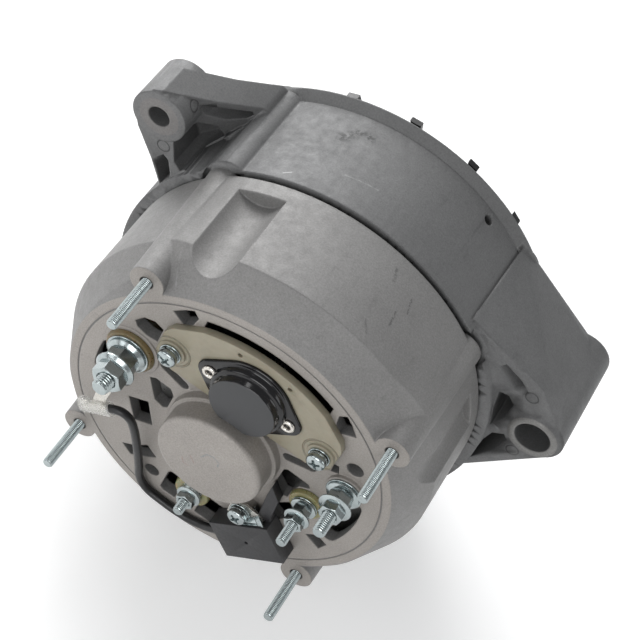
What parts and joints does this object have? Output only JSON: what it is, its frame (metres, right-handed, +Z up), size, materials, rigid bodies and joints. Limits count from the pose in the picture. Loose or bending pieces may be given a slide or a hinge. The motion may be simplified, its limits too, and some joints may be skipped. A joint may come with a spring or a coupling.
{
  "type": "alternator",
  "caption": "Heavy-duty claw-pole alternator with two mounting ears, external cooling fan, surface-mounted regulator and stud terminals.",
  "frame": {"origin": "on the shaft's axis, at the shoulder where the pulley seat starts, which is the face of the fan's hub", "axes": "+Y along the shaft from the pulley end to the rear face, +Z up with the regulator above the shaft, +X towards the smaller adjusting ear"},
  "size_m": [0.2375, 0.223, 0.1966],
  "materials": {
    "cast_rear": "matt shot-blasted casting",
    "cast_drive": "matt shot-blasted casting, slightly darker",
    "lamination": "varnished sheet steel",
    "copper_wire": "enamelled copper wire",
    "zinc": "bright bluish zinc plating",
    "bearing_steel": "ground bearing steel",
    "plate_steel": "plated sheet steel",
    "sink_aluminium": "pressed aluminium",
    "diode_steel": "nickel-plated cup",
    "dark_plastic": "moulded thermoset",
    "amber_plastic": "amber moulded insulator",
    "yellow_plastic": "pale yellow moulded insulator",
    "ivory_plastic": "ivory moulded thermoset",
    "black_cap": "black, glossy sides and a matt face",
    "rivet_metal": "bright rivet",
    "black_plastic": "matt black",
    "lead_rubber": "black insulated lead",
    "tinned_metal": "tinned sheet",
    "clear_sleeve": "clear soft sleeve",
    "carbon": "carbon",
    "spring_steel": "spring wire",
    "shaft_steel": "turned steel",
    "pole_steel": "forged and turned steel",
    "ring_copper": "turned copper",
    "fan_black": "black paint",
    "cage_brass": "pressed brass"
  },
  "bodies": {
    "housing": {"drive_end_housing": "cast_drive", "rear_housing": "cast_rear", "stator_core": "lamination", "stator_winding": "copper_wire", "through_bolts": "zinc", "front_bearing_outer": "bearing_steel", "bearing_retainer": "plate_steel", "retainer_screws": "zinc", "rear_bearing_outer": "bearing_steel", "positive_heat_sink": "sink_aluminium", "negative_heat_sink": "sink_aluminium", "power_diodes": "diode_steel", "rectifier_insulators": "dark_plastic", "rectifier_screws": "zinc", "b_plus_stud": "zinc", "b_plus_insulator": "amber_plastic", "b_plus_nuts": "zinc", "ground_stud": "zinc", "ground_nuts": "zinc", "w_stud": "zinc", "w_insulator": "yellow_plastic", "w_nuts": "zinc", "field_stud": "zinc", "field_insulator": "yellow_plastic", "field_nut": "zinc", "field_strap": "tinned_metal", "regulator_body": "ivory_plastic", "regulator_cap": "black_cap", "regulator_rivets": "rivet_metal", "face_screws": "zinc", "face_washers": "zinc", "capacitor_body": "black_plastic", "capacitor_bracket": "plate_steel", "capacitor_lead": "lead_rubber", "lead_terminal": "tinned_metal", "terminal_sleeve": "clear_sleeve", "brush_spring_positive": "spring_steel", "brush_spring_negative": "spring_steel"},
    "rotor": {"shaft": "shaft_steel", "front_pole": "pole_steel", "rear_pole": "pole_steel", "field_coil": "copper_wire", "coil_bobbin": "dark_plastic", "slip_ring_carrier": "dark_plastic", "slip_rings": "ring_copper", "fan": "fan_black", "fan_key": "shaft_steel", "spacer_collar": "shaft_steel", "front_bearing_inner": "bearing_steel", "rear_bearing_inner": "bearing_steel"},
    "front_cage": {"front_bearing_cage": "cage_brass", "front_bearing_balls": "bearing_steel"},
    "rear_cage": {"rear_bearing_cage": "cage_brass", "rear_bearing_balls": "bearing_steel"},
    "brush_a": {"brush_positive": "carbon"},
    "brush_b": {"brush_negative": "carbon"}
  },
  "joints": [
    {"name": "rotor_spin", "type": "hinge", "parent": "housing", "child": "rotor", "pos_m": [0, 0, 0], "axis": [0, 1, 0], "continuous": true},
    {"name": "front_cage_spin", "type": "hinge", "parent": "housing", "child": "front_cage", "pos_m": [0, 0.0335, 0], "axis": [0, 1, 0], "continuous": true},
    {"name": "rear_cage_spin", "type": "hinge", "parent": "housing", "child": "rear_cage", "pos_m": [0, 0.13, 0], "axis": [0, 1, 0], "continuous": true},
    {"name": "brush_positive_slide", "type": "slide", "parent": "housing", "child": "brush_a", "axis": [0, 0, 1], "range_m": [0, 0.006], "stiffness_N_per_m": 150, "springref_m": -0.01, "deforming": ["brush_spring_positive"]},
    {"name": "brush_negative_slide", "type": "slide", "parent": "housing", "child": "brush_b", "axis": [0, 0, 1], "range_m": [0, 0.006], "stiffness_N_per_m": 150, "springref_m": -0.01, "deforming": ["brush_spring_negative"]}
  ],
  "couplings": [
    {"joint": "front_cage_spin", "follows": "rotor_spin", "ratio": 0.372},
    {"joint": "rear_cage_spin", "follows": "rotor_spin", "ratio": 0.379}
  ]
}
